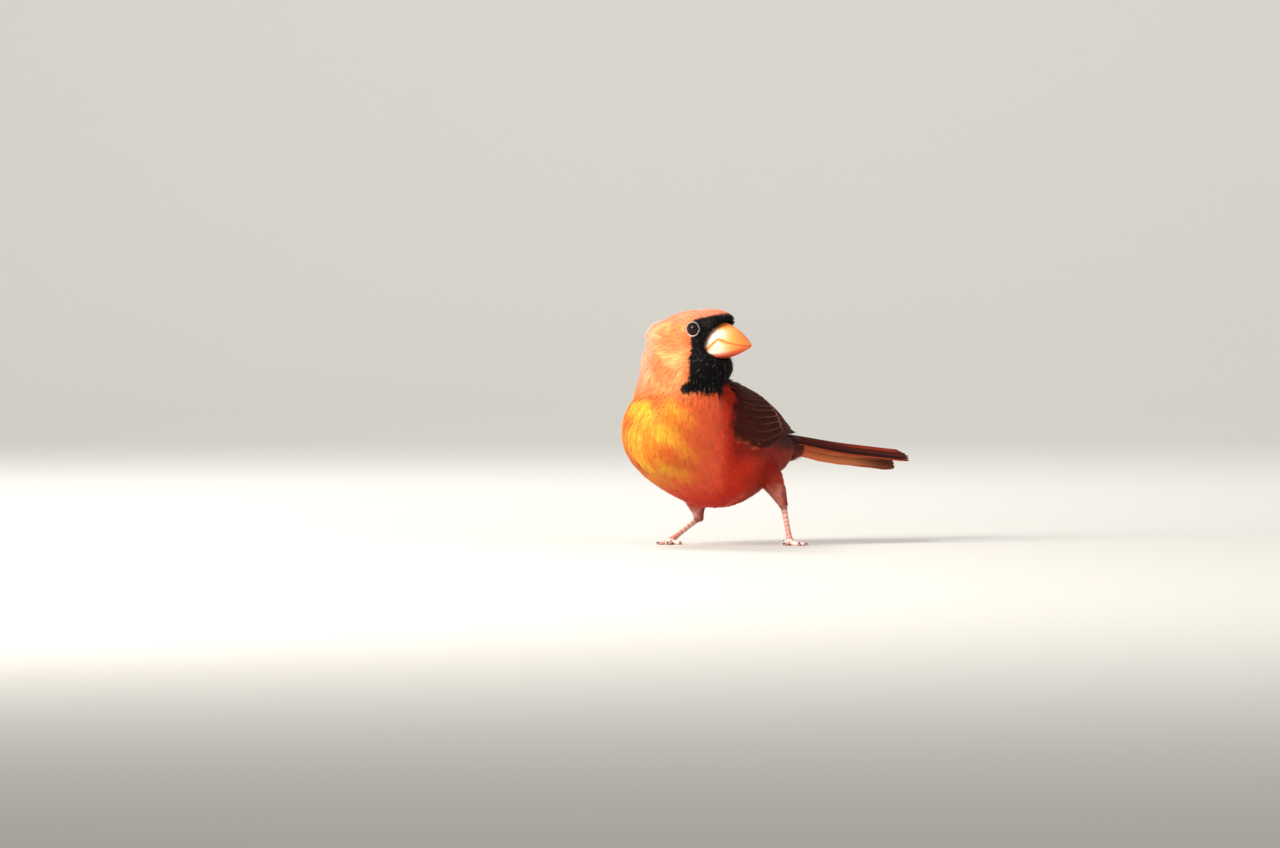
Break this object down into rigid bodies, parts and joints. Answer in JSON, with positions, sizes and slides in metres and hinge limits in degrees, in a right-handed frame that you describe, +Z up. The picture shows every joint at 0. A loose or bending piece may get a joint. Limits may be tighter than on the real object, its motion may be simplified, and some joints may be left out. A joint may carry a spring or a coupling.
{
  "type": "standing male northern cardinal",
  "caption": "Life-size perching bird standing on two spread feet, head turned over its left shoulder, thick cone bill, lowered crest, folded wings and long straight tail.",
  "frame": {"origin": "middle of the underside of the bird's box, on the floor it stands on", "axes": "-Y the way the body faces, +Y along the tail, +X the bird's left side, +Z up"},
  "size_m": [0.0848, 0.1758, 0.1154],
  "materials": {
    "red_feather": "soft overlapping feathers",
    "wing_feather": "smooth closed vanes",
    "bill": "satin horn",
    "eye": "wet and glossy",
    "leg": "dull scaled skin",
    "claw": "satin horn"
  },
  "bodies": {
    "root": {"trunk": "red_feather", "neck": "red_feather", "head": "red_feather", "crest": "red_feather", "upper_bill": "bill", "lower_bill": "bill", "eye_left": "eye", "eye_right": "eye", "wing_left": "wing_feather", "wing_right": "wing_feather", "flight_feathers_left": "wing_feather", "flight_feathers_right": "wing_feather", "tail": "wing_feather", "thigh_left": "red_feather", "thigh_right": "red_feather", "shank_left": "leg", "shank_right": "leg", "foot_left": "leg", "foot_right": "leg", "claw_hallux_left": "claw", "claw_inner_left": "claw", "claw_middle_left": "claw", "claw_outer_left": "claw", "claw_hallux_right": "claw", "claw_inner_right": "claw", "claw_middle_right": "claw", "claw_outer_right": "claw"}
  },
  "joints": []
}
